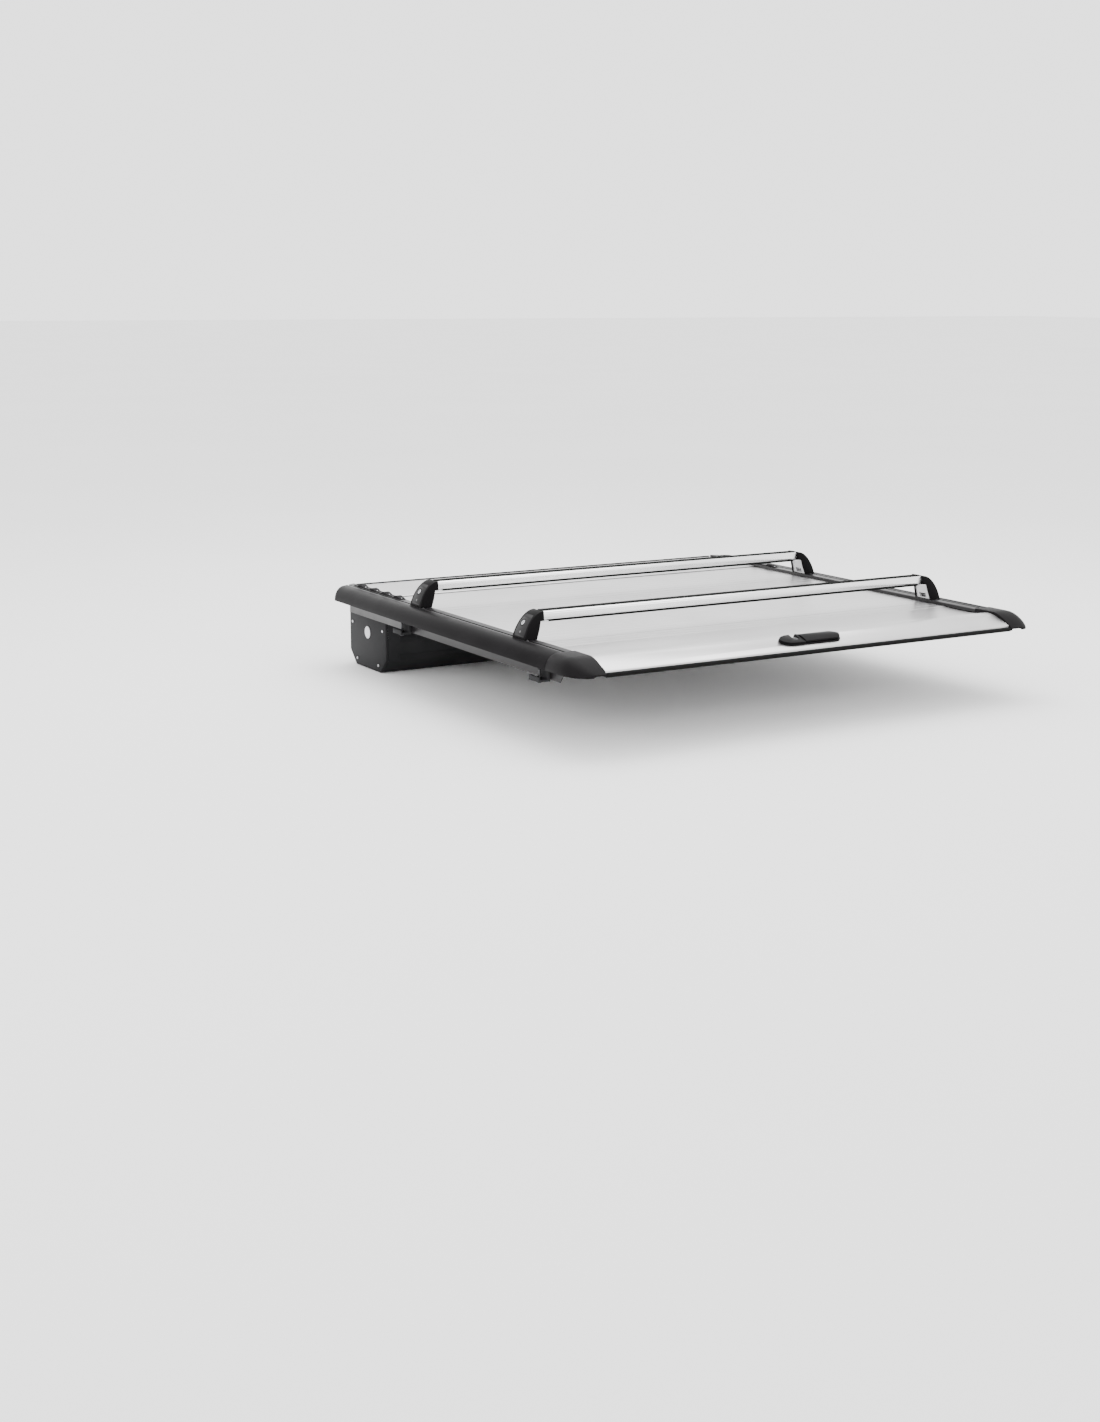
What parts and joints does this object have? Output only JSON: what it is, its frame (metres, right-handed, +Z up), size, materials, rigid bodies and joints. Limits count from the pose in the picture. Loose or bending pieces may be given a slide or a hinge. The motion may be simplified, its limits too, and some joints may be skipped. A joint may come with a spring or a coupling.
{
  "type": "roller tonneau cover",
  "caption": "Silver aluminium roller tonneau cover with black side rails, a rear pull handle and two silver crossbars on black feet, for a pickup bed.",
  "frame": {"origin": "middle of the plane of the bed-side tops that the two side rails rest on, midway along the cover", "axes": "+X to the vehicle's right, +Y forward towards the cab, +Z up"},
  "size_m": [1.646, 1.585, 0.342],
  "materials": {
    "satin_alloy": "satin anodised",
    "black_alloy": "black powder coat",
    "black_shell": "fine-grain black",
    "handle_black": "semi-gloss black",
    "black_rubber": "matte",
    "grey_plastic": "matte dark grey",
    "zinc_steel": "zinc plated"
  },
  "bodies": {
    "cover_frame": {"left_side_rail": "black_alloy", "left_rail_cover": "black_shell", "left_end_cap": "black_shell", "left_scallop_trim": "black_shell", "left_canister_end": "black_shell", "front_left_clamp": "grey_plastic", "rear_left_clamp": "grey_plastic", "right_side_rail": "black_alloy", "right_rail_cover": "black_shell", "right_end_cap": "black_shell", "right_scallop_trim": "black_shell", "right_canister_end": "black_shell", "front_right_clamp": "grey_plastic", "rear_right_clamp": "grey_plastic", "canister_body": "black_alloy", "canister_lid": "satin_alloy", "bulkhead_seal": "black_rubber", "drum_axle": "zinc_steel"},
    "drum": {"drum_tube": "satin_alloy"},
    "curtain": {"slat_01": "satin_alloy", "slat_02": "satin_alloy", "slat_03": "satin_alloy", "slat_04": "satin_alloy", "slat_05": "satin_alloy", "slat_06": "satin_alloy", "slat_07": "satin_alloy", "slat_08": "satin_alloy", "slat_09": "satin_alloy", "slat_10": "satin_alloy", "slat_11": "satin_alloy", "slat_12": "satin_alloy", "slat_13": "satin_alloy", "end_panel": "satin_alloy", "panel_seal": "black_rubber", "handle_base": "black_shell", "lock_housing": "handle_black", "left_guide_shoe": "grey_plastic", "right_guide_shoe": "grey_plastic"},
    "handle": {"handle_lever": "handle_black"},
    "handle_key": {"handle_lock": "black_shell"},
    "left_latch": {"left_latch_bolt": "zinc_steel"},
    "right_latch": {"right_latch_bolt": "zinc_steel"},
    "front_bar": {"front_crossbar": "satin_alloy", "front_bar_strip": "black_rubber", "front_left_foot": "satin_alloy", "front_left_foot_cover": "black_shell", "front_right_foot": "satin_alloy", "front_right_foot_cover": "black_shell"},
    "front_left_key": {"front_left_foot_lock": "zinc_steel"},
    "front_right_key": {"front_right_foot_lock": "zinc_steel"},
    "rear_bar": {"rear_crossbar": "satin_alloy", "rear_bar_strip": "black_rubber", "rear_left_foot": "satin_alloy", "rear_left_foot_cover": "black_shell", "rear_right_foot": "satin_alloy", "rear_right_foot_cover": "black_shell"},
    "rear_left_key": {"rear_left_foot_lock": "zinc_steel"},
    "rear_right_key": {"rear_right_foot_lock": "zinc_steel"}
  },
  "joints": [
    {"name": "curtain_slide", "type": "slide", "parent": "cover_frame", "child": "curtain", "axis": [0, 1, 0], "range_m": [0, 0.985]},
    {"name": "drum_spin", "type": "hinge", "parent": "cover_frame", "child": "drum", "pos_m": [0, 0.65, -0.1], "axis": [1, 0, 0], "range_deg": [-765, 0]},
    {"name": "handle_lift", "type": "hinge", "parent": "curtain", "child": "handle", "pos_m": [-0.01, -0.75484, 0.03077], "axis": [1, 0, 0], "range_deg": [0, 40], "stiffness_Nm_per_rad": 0.15},
    {"name": "key_turn", "type": "hinge", "parent": "curtain", "child": "handle_key", "pos_m": [-0.058, -0.73014, 0.03068], "axis": [0, -0.3045, 0.9525], "range_deg": [0, 90]},
    {"name": "left_latch_slide", "type": "slide", "parent": "curtain", "child": "left_latch", "axis": [1, 0, 0], "range_m": [0, 0.012]},
    {"name": "right_latch_slide", "type": "slide", "parent": "curtain", "child": "right_latch", "axis": [-1, 0, 0], "range_m": [0, 0.012]},
    {"name": "front_bar_slide", "type": "slide", "parent": "cover_frame", "child": "front_bar", "axis": [0, 1, 0], "range_m": [-0.2, 0.1]},
    {"name": "front_left_key_turn", "type": "hinge", "parent": "front_bar", "child": "front_left_key", "pos_m": [-0.74802, 0.265, 0.088], "axis": [-0.8351, 0, 0.5501], "range_deg": [0, 90]},
    {"name": "front_right_key_turn", "type": "hinge", "parent": "front_bar", "child": "front_right_key", "pos_m": [0.74802, 0.265, 0.088], "axis": [0.8351, 0, 0.5501], "range_deg": [0, 90]},
    {"name": "rear_bar_slide", "type": "slide", "parent": "cover_frame", "child": "rear_bar", "axis": [0, 1, 0], "range_m": [-0.15, 0.2]},
    {"name": "rear_left_key_turn", "type": "hinge", "parent": "rear_bar", "child": "rear_left_key", "pos_m": [-0.74802, -0.376, 0.088], "axis": [-0.8351, 0, 0.5501], "range_deg": [0, 90]},
    {"name": "rear_right_key_turn", "type": "hinge", "parent": "rear_bar", "child": "rear_right_key", "pos_m": [0.74802, -0.376, 0.088], "axis": [0.8351, 0, 0.5501], "range_deg": [0, 90]}
  ],
  "couplings": [
    {"joint": "drum_spin", "follows": "curtain_slide", "rad_per_m": -13.5},
    {"joint": "left_latch_slide", "follows": "handle_lift", "m_per_rad": 0.01705},
    {"joint": "right_latch_slide", "follows": "handle_lift", "m_per_rad": 0.01705}
  ]
}
